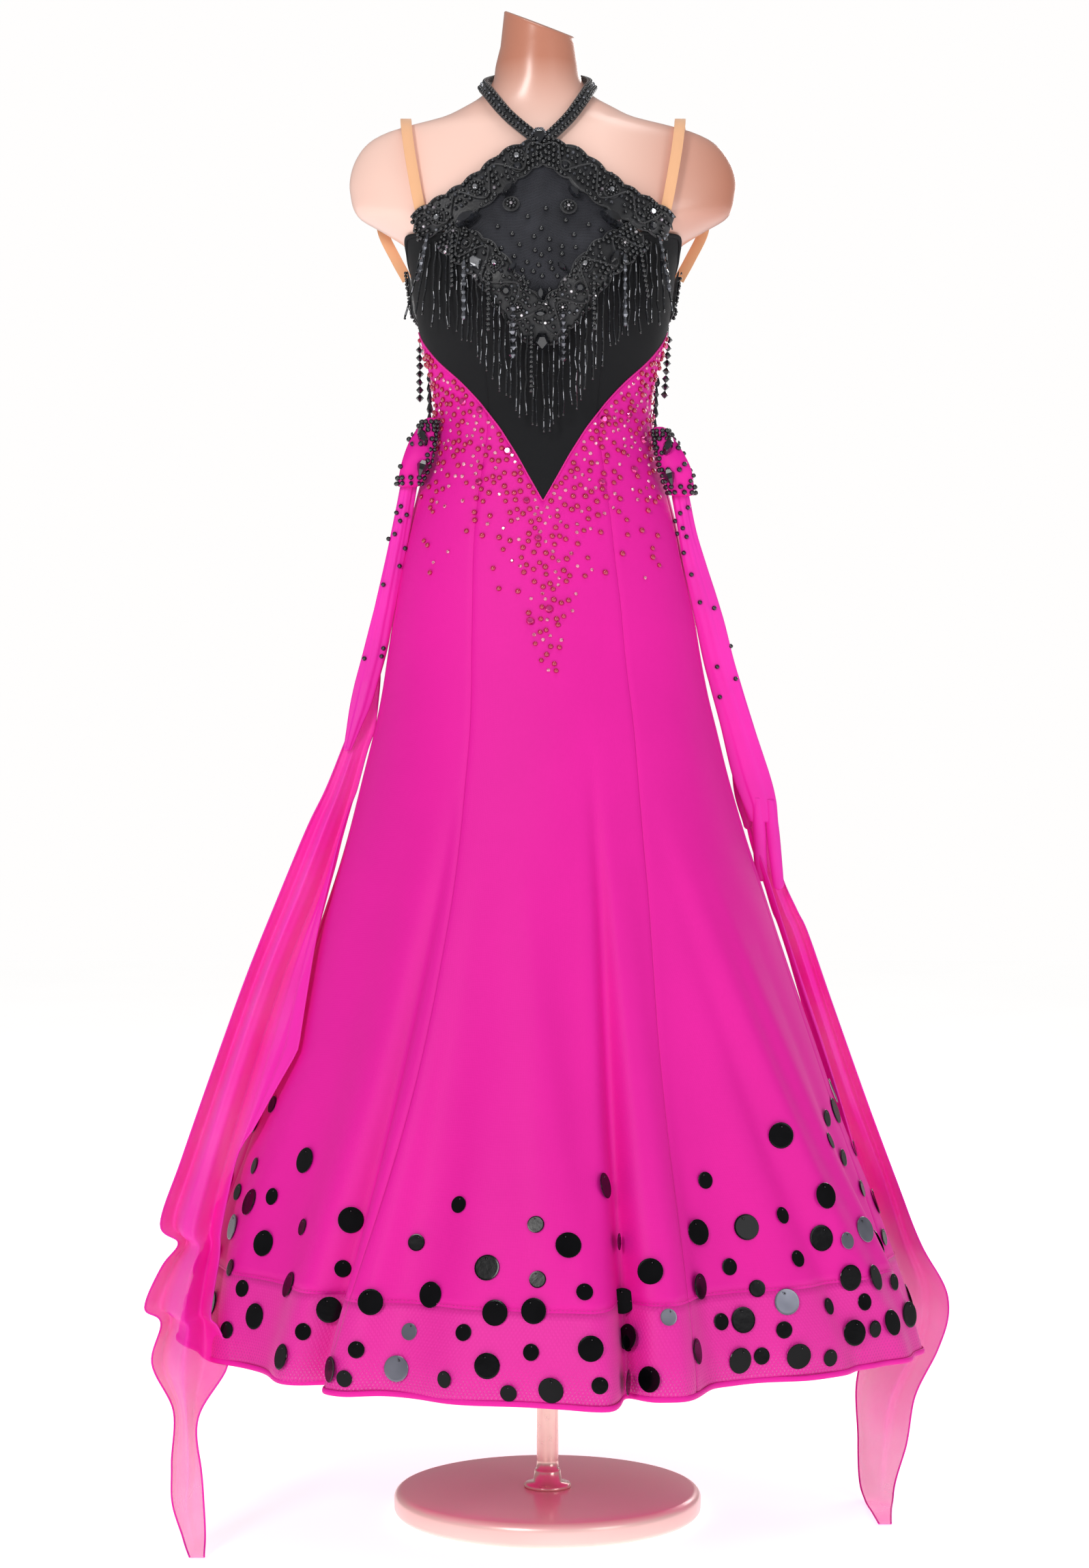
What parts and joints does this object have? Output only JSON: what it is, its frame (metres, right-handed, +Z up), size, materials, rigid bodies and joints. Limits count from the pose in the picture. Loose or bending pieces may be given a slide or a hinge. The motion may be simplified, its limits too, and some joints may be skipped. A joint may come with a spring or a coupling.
{
  "type": "ballroom dance dress on a dress form with a stand",
  "caption": "Halter-neck ballroom dance dress with a flared gored skirt, sheer yoke, bead fringe and side floats, on an armless form with a round stand.",
  "frame": {"origin": "middle of the stand's base, on the floor", "axes": "+Z up, the dress faces -Y, +X is the right as seen from the front"},
  "size_m": [0.87, 0.813, 1.6622],
  "materials": {
    "skirt_cloth": "satin",
    "hem_band": "satin",
    "chiffon": "matte",
    "bodice_cloth": "matte",
    "sheer_mesh": "matte",
    "beadwork": "gloss",
    "elastic": "matte",
    "form_shell": "gloss",
    "plated_metal": "polished"
  },
  "bodies": {
    "root": {"stand_base": "plated_metal", "stand_pole": "plated_metal", "form_torso": "form_shell", "skirt_front_centre": "skirt_cloth", "hem_front_centre": "hem_band", "skirt_front_left": "skirt_cloth", "hem_front_left": "hem_band", "skirt_front_right": "skirt_cloth", "hem_front_right": "hem_band", "skirt_side_left": "skirt_cloth", "hem_side_left": "hem_band", "skirt_side_right": "skirt_cloth", "hem_side_right": "hem_band", "skirt_back_left": "skirt_cloth", "hem_back_left": "hem_band", "skirt_back_right": "skirt_cloth", "hem_back_right": "hem_band", "bodice_centre": "bodice_cloth", "bodice_left": "bodice_cloth", "bodice_right": "bodice_cloth", "bodice_back": "bodice_cloth", "yoke": "sheer_mesh", "applique_upper_left": "beadwork", "applique_upper_right": "beadwork", "applique_lower": "beadwork", "applique_side_left": "beadwork", "applique_side_right": "beadwork", "fringe_left": "beadwork", "fringe_centre": "beadwork", "fringe_right": "beadwork", "bead_strands_left": "beadwork", "bead_strands_right": "beadwork", "neckband": "beadwork", "neck_jewel": "beadwork", "glove_cuff_left": "beadwork", "glove_cuff_right": "beadwork", "piping_left": "skirt_cloth", "strap_left": "elastic", "glove_left": "chiffon", "float_left": "chiffon", "piping_right": "skirt_cloth", "strap_right": "elastic", "glove_right": "chiffon", "float_right": "chiffon"}
  },
  "joints": []
}
